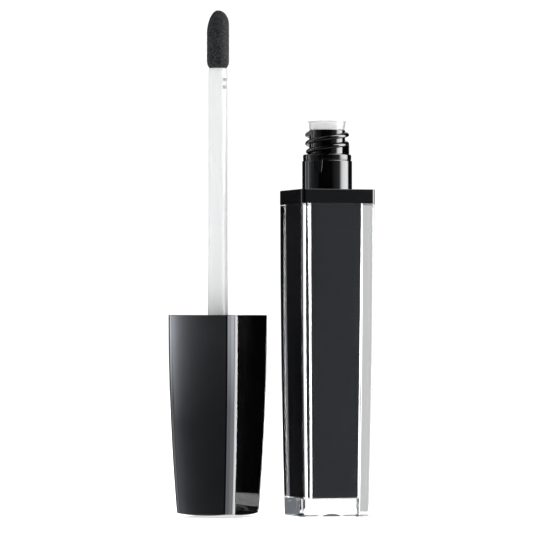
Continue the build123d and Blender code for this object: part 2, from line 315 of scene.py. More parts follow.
def ridge(
    root: float, crest: float, width: float, flank: float, lead: float, turns: float, start: float, low: float,
    top: float = math.inf,
) -> Surface:
    """One thread ridge carried along a helix, whose height grows from nothing and fades out again.

    At the angle a from its start the ridge's middle is at the height low + lead * a / full turn. Its section is a
    bead of two flanks, narrow under the crest and wider above it, raised by rise * sin(t) ** power while t runs from
    0 to half a turn. The raise is multiplied by a smooth step over run_out degrees at each end, and the section's
    foot is sunk below the root surface.

    Args:
        root: radius of the surface that the ridge stands on, in millimetres.
        crest: radius of the ridge's crest, outside or inside the root.
        width: width at the root.
        flank: width of the part under the crest.
        lead: rise per turn.
        turns: length of the ridge in turns.
        start: angle of its start, in degrees.
        low: height of its middle at the start.
        top: height above which the ridge is cut flat.

    Returns:
        A closed ridge.
    """
    run_out, samples, sink, cut = 34.0, 160, 0.12, 0.02
    lower_power, upper_power = 0.8, 1.15
    rise = crest - root
    into = math.copysign(sink, -rise)
    foot = -width / 2
    lower = np.radians(np.linspace(0, 90, 6))
    upper = np.radians(np.linspace(90, 180, 8))[1:]
    section = np.array(
        [(into, foot)]
        + [(rise * math.sin(t) ** lower_power, foot + flank * (1 - math.cos(t))) for t in lower]
        + [(rise * math.sin(t) ** upper_power, foot + flank - (width - flank) * math.cos(t)) for t in upper]
        + [(into, width / 2)]
    )
    if rise < 0:
        section = section[::-1]
    travel = np.linspace(0, turns * 360, samples)
    ends = np.minimum(travel, turns * 360 - travel) / run_out
    fade = np.clip(ends, 0, 1)
    fade = fade * fade * (3 - 2 * fade)
    angle = np.radians(start + travel)[:, None]
    radial = np.where(section[:, 0] * rise > 0, section[:, 0] * fade[:, None], section[:, 0])
    radius = (root + radial) * MM
    height = np.minimum(low + lead * travel[:, None] / 360 + section[:, 1], top - cut) * MM
    points = np.stack([radius * np.cos(angle), radius * np.sin(angle), height], axis=-1)
    columns = len(section)
    faces = grid_faces(samples, columns)
    faces.append(tuple(range(columns))[::-1])
    faces.append(tuple((samples - 1) * columns + k for k in range(columns)))
    return faceted(points.reshape(-1, 3), faces)


def faceted(points: Array, faces: Faces, power: float = 1.0) -> Surface:
    """A surface whose vertex normals are the mean of the faces round each one, weighted by their areas.

    Args:
        points: the vertices.
        faces: the faces.
        power: exponent on the areas; higher keeps flat faces flatter.

    Returns:
        The surface with its normals.
    """
    normals = np.zeros_like(points)
    by_size: dict[int, Faces] = {}
    for face in faces:
        by_size.setdefault(len(face), []).append(face)
    for group in by_size.values():
        index = np.array(group)
        corners = points[index]
        area = np.zeros((len(index), 3))
        for k in range(1, index.shape[1] - 1):
            area += np.cross(corners[:, k] - corners[:, 0], corners[:, k + 1] - corners[:, 0])
        size = np.linalg.norm(area, axis=1, keepdims=True) + 1e-20
        weighted = area / size * size**power
        for k in range(index.shape[1]):
            np.add.at(normals, index[:, k], weighted)
    normals /= np.linalg.norm(normals, axis=1, keepdims=True) + 1e-20
    return Surface(points, faces, normals)


def rounded_pad(outline: Array, depth: float, edge: float) -> Surface:
    """A flat pad that stands on the XY plane: rings of its outline, rounded over at the top edge.

    At the angle b from 0 to a quarter turn the ring is drawn in by edge * (1 - cos b) and raised by edge * sin b.

    Args:
        outline: points of a convex outline, counter-clockwise, in metres.
        depth: the pad's height, in metres.
        edge: radius of the rounded edge, in metres.

    Returns:
        The closed pad.
    """
    centre = outline.mean(axis=0)
    span = np.linalg.norm(outline - centre, axis=1, keepdims=True)
    inward = (centre - outline) / span
    bend = np.linspace(0, math.pi / 2, 6)
    rings = [np.column_stack([outline, np.zeros(len(outline))])]
    for b in bend:
        flat = outline + inward * edge * (1 - math.cos(b))
        rings.append(np.column_stack([flat, np.full(len(outline), depth - edge + edge * math.sin(b))]))
    points = np.vstack(rings)
    rows, columns = len(rings), len(outline)
    faces = grid_faces(rows, columns)
    faces.append(tuple(range(columns))[::-1])
    faces.append(tuple((rows - 1) * columns + k for k in range(columns)))
    return faceted(points, faces)


def make_piece(name: str, surface: Surface, sharp: Optional[float] = None) -> bpy.types.Object:
    """Makes an object of a surface, smooth, with the surface's own normals.

    Args:
        name: the piece's name.
        surface: its vertices, faces and normals.
        sharp: degrees over which an edge stays hard; the surface's own normals are used where it is None.

    Returns:
        The linked object.
    """
    mesh = bpy.data.meshes.new(name)
    mesh.from_pydata(surface.vertices.tolist(), [], surface.faces)
    mesh.polygons.foreach_set("use_smooth", np.ones(len(mesh.polygons), bool))
    mesh.update()
    if sharp is None:
        size = np.linalg.norm(surface.normals, axis=1, keepdims=True) + 1e-20
        mesh.normals_split_custom_set_from_vertices((surface.normals / size).tolist())
    else:
        mesh.set_sharp_from_angle(angle=math.radians(sharp))
    piece = bpy.data.objects.new(name, mesh)
    bpy.context.scene.collection.objects.link(piece)
    return piece


# ------------------------------------------------------------------------------------------------------ shader maths
Links = dict[str, Any]


class Socket:
    """An output socket that takes part in Python expressions. Values go through Math nodes."""

    def __init__(self, tree: bpy.types.NodeTree, output: bpy.types.NodeSocket) -> None:
        """Keeps the tree and the output."""
        self.tree = tree
        self.output = output

    def _math(self, operation: str, first: Any, second: Any) -> "Socket":
        """One Math node on two sockets or numbers."""
        return Shader.node_in(self.tree, "ShaderNodeMath", {"operation": operation}, {0: first, 1: second})

    def __add__(self, other: Any) -> "Socket":
        """self + other."""
        return self._math("ADD", self, other)

    def __radd__(self, other: Any) -> "Socket":
        """other + self."""
        return self._math("ADD", other, self)

    def __sub__(self, other: Any) -> "Socket":
        """self - other."""
        return self._math("SUBTRACT", self, other)

    def __rsub__(self, other: Any) -> "Socket":
        """other - self."""
        return self._math("SUBTRACT", other, self)

    def __mul__(self, other: Any) -> "Socket":
        """self * other."""
        return self._math("MULTIPLY", self, other)

    def __rmul__(self, other: Any) -> "Socket":
        """other * self."""
        return self._math("MULTIPLY", other, self)

    def __pow__(self, other: Any) -> "Socket":
        """self to the power other."""
        return self._math("POWER", self, other)


class Shader:
    """A material's node tree, with one method that adds any node."""

    def __init__(self, name: str) -> None:
        """Makes a material with an empty tree."""
        self.material = bpy.data.materials.new(name)
        self.material.use_nodes = True
        self.tree = self.material.node_tree
        self.tree.nodes.clear()

    @staticmethod
    def node_in(
        tree: bpy.types.NodeTree, kind: str, settings: Links, inputs: Links, out: Union[int, str] = 0
    ) -> Socket:
        """Adds one node.

        Args:
            tree: the tree that it goes in.
            kind: the node's type.
            settings: its settings, set first. A list under "stops" holds a ramp's (place, colour) pairs.
            inputs: values or sockets for its inputs, by name or number.
            out: the output to give back.

        Returns:
            The chosen output.
        """
        node = tree.nodes.new(kind)
        for key, value in settings.items():
            if key == "stops":
                ramp = node.color_ramp.elements
                while len(ramp) < len(value):
                    ramp.new(1.0)
                for element, (place, colour) in zip(ramp, value):
                    element.position = place
                    element.color = (*colour, 1.0) if len(colour) == 3 else colour
            else:
                setattr(node, key, value)
        for key, value in inputs.items():
            if isinstance(value, Socket):
                tree.links.new(value.output, node.inputs[key])
            else:
                node.inputs[key].default_value = value
        return Socket(tree, node.outputs[out]) if len(node.outputs) else Socket(tree, None)

    def add(
        self, kind: str, settings: Optional[Links] = None, inputs: Optional[Links] = None, out: Any = 0
    ) -> Socket:
        """Adds a node to this material's tree."""
        return self.node_in(self.tree, kind, settings or {}, inputs or {}, out)

    def place(self) -> Socket:
        """The piece's own coordinates, in metres."""
        return self.add("ShaderNodeTexCoord", out="Object")

    def stretched(self, scale: tuple[float, float, float]) -> Socket:
        """The piece's own coordinates, scaled along each axis."""
        return self.add("ShaderNodeMapping", {}, {"Vector": self.place(), "Scale": scale})

    def noise(self, scale: float, detail: float = 3.0, rough: float = 0.5, at: Optional[Socket] = None) -> Socket:
        """Noise from 0 to 1 with its features 1 / scale metres apart."""
        where = at or self.place()
        values = {"Vector": where, "Scale": scale, "Detail": detail, "Roughness": rough}
        return self.add("ShaderNodeTexNoise", {}, values)

    def ramp(self, value: Socket, stops: list[tuple]) -> Socket:
        """A colour ramp over a value."""
        return self.add("ShaderNodeValToRGB", {"stops": stops}, {"Fac": value})

    def blend(self, share: Any, first: Any, second: Any) -> Socket:
        """A mix of two colours."""
        settings = {"data_type": "RGBA"}
        return self.add("ShaderNodeMix", settings, {"Factor": share, 6: first, 7: second}, out=2)

    def bump(self, height: Socket, strength: float, distance: float) -> Socket:
        """A normal bent by a height, whose full step is distance metres."""
        return self.add("ShaderNodeBump", {}, {"Height": height, "Strength": strength, "Distance": distance})

    def principled(self, **values: Any) -> Socket:
        """The main shader; the names' underscores stand for spaces."""
        return self.add("ShaderNodeBsdfPrincipled", {}, {k.replace("_", " "): v for k, v in values.items()})

    def finish(self, surface: Socket) -> bpy.types.Material:
        """Joins the surface to the output and gives the material."""
        self.add("ShaderNodeOutputMaterial", {}, {"Surface": surface})
        return self.material


def rgb(red: float, green: float, blue: float) -> Colour:
    """A colour with full alpha."""
    return (red, green, blue, 1.0)


# ---------------------------------------------------------------------------------------------------------- finishes
@dataclass(frozen=True)
class PianoBlack:
    """Black plastic moulded in a polished tool, with a faint wave, soft smudges and hairline scratches."""

    name: str = "piano_black"
    colour: Colour = rgb(0.0012, 0.0012, 0.0014)
    roughness: float = 0.035
    wave: float = 0.1

    def material(self) -> bpy.types.Material:
        """Builds the finish: roughness rises along fine scratches and in soft smudges."""
        s = Shader(self.name)
        smudge = s.ramp(s.noise(160.0, 4.0), [(0.42, (0, 0, 0)), (0.75, (1, 1, 1))])
        hair = s.noise(900.0, 2.0, at=s.stretched((1.0, 1.0, 0.06)))
        scratch = s.ramp(hair, [(0.62, (0, 0, 0)), (0.72, (1, 1, 1))])
        rough = self.roughness + 0.03 * smudge + 0.035 * scratch
        normal = s.bump(s.noise(90.0, 1.0), self.wave, 0.00001)
        tone = s.blend(smudge, self.colour, rgb(0.0022, 0.0022, 0.0025))
        shader = s.principled(Base_Color=tone, Roughness=rough, IOR=1.5, Normal=normal)
        return s.finish(shader)


@dataclass(frozen=True)
class MouldedBlack:
    """Black plastic with the fine grain of an unpolished tool."""

    name: str = "moulded_black"
    colour: Colour = rgb(0.012, 0.012, 0.013)
    roughness: float = 0.38

    def material(self) -> bpy.types.Material:
        """Builds the finish: a fine grain in the bump and cloudy roughness."""
        s = Shader(self.name)
        grain = s.noise(9000.0, 2.0)
        cloud = s.noise(300.0, 3.0)
        tone = s.blend(cloud, self.colour, rgb(0.018, 0.018, 0.019))
        normal = s.bump(grain, 0.25, 0.00002)
        return s.finish(s.principled(Base_Color=tone, Roughness=self.roughness + 0.12 * cloud, Normal=normal))


@dataclass(frozen=True)
class VialBlack:
    """The vial's smooth dark wall, seen through the clear case."""

    name: str = "vial_black"
    colour: Colour = rgb(0.0045, 0.0045, 0.0052)
    roughness: float = 0.05

    def material(self) -> bpy.types.Material:
        """Builds the finish: flow marks that run along the vial vary its tone and roughness a little."""
        s = Shader(self.name)
        flow = s.noise(260.0, 3.0, at=s.stretched((1.0, 1.0, 0.12)))
        tone = s.blend(flow, self.colour, rgb(0.006, 0.006, 0.0068))
        rough = self.roughness + 0.03 * flow
        return s.finish(s.principled(Base_Color=tone, Roughness=rough, IOR=1.5))


@dataclass(frozen=True)
class ClearAcrylic:
    """Thick clear acrylic, polished, with a faint ripple from the mould."""

    name: str = "clear_acrylic"
    tint: Colour = rgb(0.985, 0.99, 0.992)
    ior: float = 1.49

    def material(self) -> bpy.types.Material:
        """Builds the finish: full transmission, with roughness that rises only in thin smudges."""
        s = Shader(self.name)
        smudge = s.ramp(s.noise(220.0, 3.0), [(0.55, (0, 0, 0)), (0.85, (1, 1, 1))])
        normal = s.bump(s.noise(70.0, 1.0), 0.06, 0.00001)
        shader = s.principled(
            Base_Color=self.tint, Roughness=0.012 * smudge, IOR=self.ior, Transmission_Weight=1.0, Normal=normal
        )
        return s.finish(shader)


@dataclass(frozen=True)
class NaturalPlastic:
    """Uncoloured, translucent plastic with a satin skin, such as the stem and the wiper are moulded in."""

    name: str
    colour: Colour = rgb(0.80, 0.81, 0.82)
    roughness: float = 0.22
    through: float = 0.35
    glow: float = 0.6

    def material(self) -> bpy.types.Material:
        """Builds the finish: a milky body that passes some light, with streaks along the flow of the mould."""
        s = Shader(self.name)
        flow = s.noise(700.0, 3.0, at=s.stretched((1.0, 1.0, 0.08)))
        tone = s.blend(flow, self.colour, rgb(*[min(1.0, c * 1.05) for c in self.colour[:3]]))
        normal = s.bump(s.noise(3500.0, 2.0), 0.12, 0.00001)
        shader = s.principled(
            Base_Color=tone, Roughness=self.roughness + 0.08 * flow, IOR=1.5, Transmission_Weight=self.through,
            Subsurface_Weight=self.glow, Subsurface_Radius=(1.0, 1.0, 1.0), Subsurface_Scale=0.0015, Normal=normal,
        )
        return s.finish(shader)


@dataclass(frozen=True)
class Flock:
    """Dense black flock, finely speckled."""

    name: str = "black_flock"
    dark: Colour = rgb(0.001, 0.001, 0.0012)
    light: Colour = rgb(0.05, 0.052, 0.056)

    def material(self) -> bpy.types.Material:
        """Builds the finish: a fine speckle between the two tones, and a soft sheen."""
        s = Shader(self.name)
        speck = s.ramp(s.noise(3600.0, 2.0, 0.7), [(0.46, (0, 0, 0)), (0.62, (1, 1, 1))])
        tone = s.blend(speck, self.dark, self.light)
        normal = s.bump(s.noise(9000.0, 2.0), 0.6, 0.00008)
        shader = s.principled(
            Base_Color=tone, Roughness=0.75 + 0.2 * speck, Specular_IOR_Level=0.25, Sheen_Weight=0.06,
            Sheen_Roughness=0.5, Normal=normal,
        )
        return s.finish(shader)


@dataclass(frozen=True)
class SoftFoam:
    """The washer's pale foam."""

    name: str = "soft_foam"
    colour: Colour = rgb(0.72, 0.72, 0.70)

    def material(self) -> bpy.types.Material:
        """Builds the finish: small closed cells in the bump and the tone."""
        s = Shader(self.name)
        cells = s.add("ShaderNodeTexVoronoi", {}, {"Vector": s.place(), "Scale": 4200.0})
        tone = s.blend(cells, self.colour, rgb(0.60, 0.60, 0.58))
        return s.finish(s.principled(Base_Color=tone, Roughness=0.8 + 0.1 * cells, Normal=s.bump(cells, 0.4, 0.00004)))


@dataclass(frozen=True)
class GlossLiquid:
    """The gloss in the vial: dark, thick and shiny."""

    name: str = "gloss_liquid"
    colour: Colour = rgb(0.01, 0.009, 0.010)

    def material(self) -> bpy.types.Material:
        """Builds the finish: slow swirls of tone under a wet surface."""
        s = Shader(self.name)
        swirl = s.noise(320.0, 4.0)
        tone = s.blend(swirl, self.colour, rgb(0.02, 0.018, 0.02))
        return s.finish(s.principled(Base_Color=tone, Roughness=0.08 + 0.06 * swirl, IOR=1.48))


# ------------------------------------------------------------------------------------------------------ sub-assemblies
class Body(Enum):
    """The frame's bodies."""

    TUBE = "tube"
    WASHER = "washer"
    WAND = "wand"


def node_span(node: str) -> tuple[float, float]:
    """Lowest and highest point of a CAD node, in millimetres."""
    low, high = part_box(node)
    return low.z / MM, high.z / MM


def node_width(node: str) -> float:
    """Widest side of a CAD node along X, in millimetres."""
    low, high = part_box(node)
    return (high.x - low.x) / MM


def node_centre(node: str) -> tuple[float, float]:
    """Middle of a CAD node in X and Y, in metres."""
    low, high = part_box(node)
    return (low.x + high.x) / 2, (low.y + high.y) / 2


def present(
    name: str, surface: Surface, material: bpy.types.Material, body: Body, replaces: Sequence[str] = (),
    sharp: Optional[float] = None,
) -> bpy.types.Object:
    """Makes a piece, dresses it, rides it on its body and reports it.

    Args:
        name: the piece's name.
        surface: its shape, in the frame.
        material: its finish.
        body: the body that it moves with.
        replaces: CAD nodes that it stands for.
        sharp: degrees over which an edge stays hard, or None for the surface's own normals.

    Returns:
        The piece.
    """
    piece = make_piece(name, surface, sharp)
    piece.data.materials.append(material)
    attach(piece, body.value)
    if replaces:
        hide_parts(*replaces)
    log.info("%s: %d faces on %s", name, len(piece.data.polygons), body.value)
    return piece


def steady(radius: float) -> Callable[[Array], Array]:
    """A corner radius, given in millimetres, that is the same on every ring."""
    return lambda half: np.full_like(half, radius * MM)


@dataclass
class Tube:
    """The tube: clear case, dark vial, gloss, threaded neck, collar and wiper. Sizes are in millimetres."""

    top_half: float = field(default_factory=lambda: node_width("outer_case") / 2)
    base_half: float = 7.9
    corner: float = 0.95
    cavity_top_half: float = 6.15
    cavity_floor_half: float = 5.55
    cavity_floor: float = 4.0
    cavity_corner: float = 0.4
    recess_half: float = 3.4
    recess_depth: float = 0.9
    air_gap: float = 0.08
    vial_wall: float = 0.8
    barrel: float = 5.68
    groove: float = 5.45
    bead: float = 5.5
    bead_height: float = 1.2
    groove_height: float = 0.2
    barrel_top: float = 80.5
    neck: float = 4.1
    bore: float = 3.3
    crest: float = 5.02
    thread_width: float = 1.2
    thread_flank: float = 0.42
    thread_turns: float = 1.13
    thread_start: float = -33.0
    thread_low: float = 82.34
    flange_half: float = 6.9
    flange: float = 1.0
    lug_turn: float = -129.0
    rib_turn: float = -31.0
    wiper_rim: float = 4.3
    wiper_foot: float = 3.95
    wiper_mouth: float = 3.4
    wiper_bore: float = 2.55
    wiper_sleeve: float = 3.25
    wiper_lip: float = 1.95
    wiper_lip_outer: float = 2.3
    cone_top: float = 81.6

    def __post_init__(self) -> None:
        """Reads the heights from the frame."""
        self.case_top = node_span("outer_case")[1]
        self.collar_low, self.collar_top = node_span("shoulder_collar")
        self.neck_low, self.neck_top = node_span("neck_insert")
        self.wiper_low, self.wiper_top = node_span("wiper")
        self.vial_low, self.vial_top = node_span("inner_vial")
        self.bead_top = self.barrel_top + self.groove_height + self.bead_height

    def build(self) -> None:
        """Makes every piece of the tube."""
        self.case()
        self.vial()
        self.neck_insert()
        self.collar()
        self.wiper()
        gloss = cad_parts["gloss_fill"]
        gloss.data.materials.clear()
        gloss.data.materials.append(GlossLiquid().material())
        log.info("gloss_fill: the frame's own solid, dressed")

    def case(self) -> None:
        """Clear case: up the bowed outside, over the rim, down the cavity and back along the underside's recess."""
        bowl = (self.recess_half**2 + self.recess_depth**2) / (2 * self.recess_depth)
        share = np.linspace(0, 1, 9)[:-1]
        reach = self.recess_half * share
        depth = np.sqrt(bowl**2 - reach**2) - (bowl - self.recess_depth)
        corners: list[tuple] = [(h, z, 0.0, 1.0) for h, z in zip(reach, depth)]
        corners.append((self.recess_half, 0.0, 0.15, 1.0))
        corners.append((self.base_half, 0.0, 0.25, 0.0))
        corners += bow(self.top_half, self.base_half, self.case_top, 22)
        corners.append((self.top_half, self.case_top, 0.08, 0.0))
        corners.append((self.cavity_top_half, self.case_top, 0.08, 0.0))
        corners.append((self.cavity_floor_half, self.cavity_floor, 0.35, 0.0))
        corners.append((0.0, self.cavity_floor, 0.0, 0.0))

        def corner(half: Array) -> Array:
            """Corner radius: the cavity's inside it, the case's own outside, and a little less towards the base."""
            inner = half < (self.cavity_top_half + 0.5) * MM
            radius = np.where(inner, self.cavity_corner, self.corner) * MM
            return np.minimum(radius, half * 0.98)

        surface = square_loft(filleted(corners), corner)
        present("clear_case", surface, ClearAcrylic().material(), Body.TUBE, ["outer_case"])

    def vial(self) -> None:
        """Dark vial: a tapered square cup, parted from the case by a thin layer of air."""
        low, high = self.cavity_floor_half - self.air_gap, self.cavity_top_half - self.air_gap
        floor = self.vial_low + self.vial_wall
        corners = [
            (0.0, self.vial_low, 0.0, 0.0),
            (low, self.vial_low, 0.3, 0.0),
            (high, self.vial_top, 0.05, 0.0),
            (high - self.vial_wall, self.vial_top, 0.05, 0.0),
            (low - self.vial_wall, floor, 0.3, 0.0),
            (0.0, floor, 0.0, 0.0),
        ]

        def corner(half: Array) -> Array:
            """Corner radius, a little less than the cavity's."""
            return np.minimum((self.cavity_corner - self.air_gap) * MM, half * 0.98)

        surface = square_loft(filleted(corners), corner)
        present("dark_vial", surface, VialBlack().material(), Body.TUBE, ["inner_vial"])

    def neck_insert(self) -> None:
        """Neck: flange, plug, barrel, groove, bead and threaded end in one loft, with two ridges, a lug and a rib."""
        flange_top = self.case_top + self.flange
        plug = self.cavity_top_half - self.air_gap - self.vial_wall - 0.1
        corners = [
            (self.bore, self.neck_low, 0.1, 1.0),
            (plug, self.neck_low, 0.2, 0.0),
            (plug, self.case_top, 0.05, 0.0),
            (self.flange_half, self.case_top, 0.05, 0.0),
            (self.flange_half, flange_top, 0.05, 0.0),
            (self.barrel, flange_top, 0.05, 1.0),
            (self.barrel, self.barrel_top, 0.22, 1.0),
            (self.groove, self.barrel_top, 0.04, 1.0),
            (self.groove, self.barrel_top + self.groove_height, 0.04, 1.0),
            (self.bead, self.barrel_top + self.groove_height, 0.08, 1.0),
            (self.bead, self.bead_top, 0.28, 1.0),
            (self.neck, self.bead_top, 0.25, 1.0),
            (self.neck, self.neck_top, 0.12, 1.0),
            (self.bore, self.neck_top, 0.12, 1.0),
        ]
        surface = square_loft(filleted(corners, closed=True), steady(0.4), closed=True, flats=20, arcs=12)
        for half_turn in (0.0, 180.0):
            surface = surface + ridge(
                self.neck, self.crest, self.thread_width, self.thread_flank, THREAD_LEAD, self.thread_turns,
                self.thread_start + half_turn, self.thread_low, self.neck_top,
            )
        surface = surface + self.lug() + self.rib()
        black = PianoBlack(name="neck_black").material()
        present("threaded_neck", surface, black, Body.TUBE, ["neck_insert"])

    def lug(self) -> Surface:
        """Alignment lug: a pad wider at its top, wrapped on the barrel under its top edge."""
        height, top, bottom, depth, sunk = 2.9, 1.2, 0.95, 0.6, 0.25
        rows = np.linspace(0, 1, 7)
        left = [(-(bottom + (top - bottom) * r), height * r) for r in rows[::-1]]
        right = [((bottom + (top - bottom) * r), height * r) for r in rows]
        floor = [(x, 0.0) for x in np.linspace(-bottom, bottom, 6)[1:-1]]
        roof = [(x, height) for x in np.linspace(top, -top, 6)[1:-1]]
        outline = np.array(left + floor + right + roof) * MM
        pad = rounded_pad(outline, depth * MM, 0.12 * MM)
        return self.wrapped(pad, self.barrel - sunk, self.lug_turn, self.barrel_top - height)

    def rib(self) -> Surface:
        """Stop rib: a narrow upright block beside the thread's start."""
        half, height, depth, sunk = 0.4, 2.3, 1.15, 0.15
        outline = np.array(
            [(-half, 0), (0, 0), (half, 0), (half, height / 2), (half, height), (0, height), (-half, height),
             (-half, height / 2)]
        ) * MM
        pad = rounded_pad(outline, depth * MM, 0.12 * MM)
        return self.wrapped(pad, self.neck - sunk, self.rib_turn, self.bead_top - 0.02)

    def wrapped(self, pad: Surface, radius: float, turn: float, low: float) -> Surface:
        """Wraps a pad round the axis: its x becomes an arc, its y the height and its z the distance outwards."""
        reach = radius * MM + pad.vertices[:, 2]
        angle = math.radians(turn) + pad.vertices[:, 0] / (radius * MM + pad.vertices[:, 2].max())
        points = np.stack([reach * np.cos(angle), reach * np.sin(angle), low * MM + pad.vertices[:, 1]], axis=1)
        return faceted(points, pad.faces, 1.5)

    def collar(self) -> None:
        """Collar: a square ring with eased edges and a round bore, stepped over the neck's flange."""
        half, bore, inner = node_width("shoulder_collar") / 2, self.barrel + 0.05, self.flange_half + 0.05
        step = self.collar_low + 1.05
        corners = [
            (inner, self.collar_low, 0.05, 0.0),
            (half, self.collar_low, 0.08, 0.0),
            (half, self.collar_top, 0.18, 0.0),
            (bore, self.collar_top, 0.1, 1.0),
            (bore, step, 0.05, 1.0),
            (inner, step, 0.05, 0.0),
        ]
        surface = square_loft(filleted(corners, closed=True), steady(self.corner), closed=True)
        black = PianoBlack(name="collar_black").material()
        present("square_collar", surface, black, Body.TUBE, ["shoulder_collar"])

    def wiper(self) -> None:
        """Wiper: a flared rim on the neck's end, a sleeve in its bore and a thin lip at the bottom."""
        corners = [
            (self.wiper_mouth, self.wiper_top, 0.12),
            (self.wiper_bore, self.wiper_top - 1.6, 0.25),
            (self.wiper_bore, self.cone_top, 0.2),
            (self.wiper_lip, self.wiper_low, 0.06),
            (self.wiper_lip_outer, self.wiper_low, 0.06),
            (self.wiper_sleeve, self.cone_top, 0.2),
            (self.wiper_sleeve, self.neck_top, 0.05),
            (self.wiper_foot, self.neck_top, 0.06),
            (self.wiper_foot, self.neck_top + 0.15, 0.05),
            (4.09, self.neck_top + 0.25, 0.08),
            (4.13, self.wiper_top - 0.6, 0.1),
            (4.17, self.wiper_top - 0.4, 0.08),
            (self.wiper_rim, self.wiper_top - 0.3, 0.06),
            (self.wiper_rim, self.wiper_top, 0.1),
        ]
        surface = lathe(filleted(corners, closed=True), 128, closed=True)
        natural = NaturalPlastic("wiper_natural", colour=rgb(0.9, 0.905, 0.91), through=0.5, glow=0.45, roughness=0.16)
        present("wiper_ring", surface, natural.material(), Body.TUBE, ["wiper"])


@dataclass
class Wand:
    """The wand: cap, liner, washer, hollow stem and flocked tip. Sizes are in millimetres."""

    mouth_half: float = 8.75
    end_half: float = 7.3
    corner: float = 2.1
    dome: float = 50.0
    hollow_mouth_half: float = 7.6
    hollow_end_half: float = 6.1
    hollow_floor: float = 2.0
    hollow_corner: float = 1.2
    socket: float = 2.3
    socket_outer: float = 3.6
    socket_floor: float = 21.5
    seat: float = 29.4
    seat_foot: float = 26.6
    thread_root: float = 5.2
    thread_crest: float = 4.45
    thread_wall: float = 6.2
    thread_low: float = 32.4
    thread_top: float = 37.5
    skirt: float = 6.15
    skirt_wall: float = 6.9
    skirt_foot: float = 36.3
    liner_half: float = 7.5
    liner_flange: float = 1.2
    washer_hole: float = 2.4
    washer_half: float = 5.1
    stem_foot: float = 2.27
    stem: float = 2.14
    stem_bore: float = 1.2
    window_turn: float = -52.0
    window_low: float = 96.5
    window_high: float = 99.0
    tip: float = 2.58
    slant_turn: float = 163.0
    fibre: float = 0.13
    fibres: int = 15000
    seed: int = 7

    def __post_init__(self) -> None:
        """Reads the wand's place and heights from the frame."""
        x, y = node_centre("stem")
        self.stand = Stand(x, y, math.radians(45))
        self.upright = Stand(x, y, 0.0)
        self.cap_top = node_span("cap_shell")[1]
        self.stem_low, self.stem_top = node_span("stem")
        self.tip_top = node_span("flock_sleeve")[1]
        self.washer_low, self.washer_top = node_span("liner_gasket")

    def build(self) -> None:
        """Makes every piece of the wand."""
        self.cap()
        self.liner()
        self.washer()
        self.hollow_stem()
        self.core()
        self.flock()

    def cap(self) -> None:
        """Cap: over the domed closed end, up the bowed sides, over the mouth's rim and down inside."""
        reach = np.linspace(0, self.end_half, 9)[:-1]
        dome = self.dome - np.sqrt(self.dome**2 - reach**2)
        rise = self.dome - math.sqrt(self.dome**2 - self.end_half**2)
        corners: list[tuple] = [(h, z, 0.0, 0.0) for h, z in zip(reach, dome)]
        corners.append((self.end_half, rise, 0.4, 0.0))
        corners += bow(self.mouth_half, self.end_half, self.cap_top, 20)
        corners.append((self.mouth_half, self.cap_top, 0.15, 0.0))
        corners.append((self.hollow_mouth_half, self.cap_top, 0.15, 0.0))
        corners.append((self.hollow_end_half, self.hollow_floor, 0.5, 0.0))
        corners.append((0.0, self.hollow_floor, 0.0, 0.0))

        def corner(half: Array) -> Array:
            """Corner radius: tight inside the hollow, the cap's own outside."""
            inner = half < (self.end_half - 0.9) * MM
            return np.minimum(np.where(inner, self.hollow_corner, self.corner) * MM, half * 0.98)

        surface = self.domed(square_loft(filleted(corners), corner, flats=14, arcs=20)).on(self.stand)
        black = PianoBlack(name="cap_black").material()
        self.shell = present("cap", surface, black, Body.WAND, ["cap_shell"])

    def domed(self, surface: Surface) -> Surface:
        """Lifts the closed end's outer skin to a sphere.

        A point at the distance d from the axis is raised to dome - sqrt(dome^2 - d^2) where it was lower, so that
        the corners, which are further out than the flats, rise more.
        """
        points = surface.vertices.copy()
        reach = np.hypot(points[:, 0], points[:, 1])
        skin = (self.dome - np.sqrt((self.dome * MM) ** 2 - reach**2) / MM) * MM
        points[:, 2] = np.maximum(points[:, 2], skin)
        return Surface(points, surface.faces, surface.normals)

    def liner(self) -> None:
        """Liner: square flange in the mouth, skirt bore, thread zone with two ridges, seat and stem socket."""
        low, top = node_span("cap_liner")
        corners = [
            (0.0, low, 0.0, 1.0),
            (self.socket_outer, low, 0.3, 1.0),
            (self.socket_outer, self.seat_foot, 0.2, 1.0),
            (self.thread_wall, self.seat_foot, 0.2, 1.0),
            (self.thread_wall, self.skirt_foot, 0.2, 1.0),
            (self.skirt_wall, self.skirt_foot, 0.2, 1.0),
            (self.skirt_wall, top - self.liner_flange, 0.02, 1.0),
            (self.liner_half, top - self.liner_flange, 0.05, 0.0),
            (self.liner_half, top, 0.1, 0.0),
            (self.skirt, top, 0.2, 1.0),
            (self.skirt, self.thread_top, 0.1, 1.0),
            (self.thread_root, self.thread_top, 0.1, 1.0),
            (self.thread_root, self.seat, 0.1, 1.0),
            (self.socket, self.seat, 0.1, 1.0),
            (self.socket, self.socket_floor, 0.1, 1.0),
            (0.0, self.socket_floor, 0.0, 1.0),
        ]
        surface = square_loft(filleted(corners, steps=4), steady(self.hollow_corner), flats=18, arcs=10)
        for start in (0.0, 180.0):
            surface = surface + ridge(
                self.thread_root, self.thread_crest, 1.1, 0.45, THREAD_LEAD, 1.0, start, self.thread_low
            )
        black = MouldedBlack().material()
        present("cap_inner", surface.on(self.stand), black, Body.WAND, ["cap_liner"])

    def washer(self) -> None:
        """Washer: a flat ring with eased edges on the liner's seat."""
        corners = [
            (self.washer_hole, self.washer_low, 0.08),
            (self.washer_half, self.washer_low, 0.15),
            (self.washer_half, self.washer_top, 0.15),
            (self.washer_hole, self.washer_top, 0.08),
        ]
        surface = lathe(filleted(corners, closed=True), 96, closed=True).on(self.upright)
        present("foam_washer", surface, SoftFoam().material(), Body.WASHER, ["liner_gasket"])

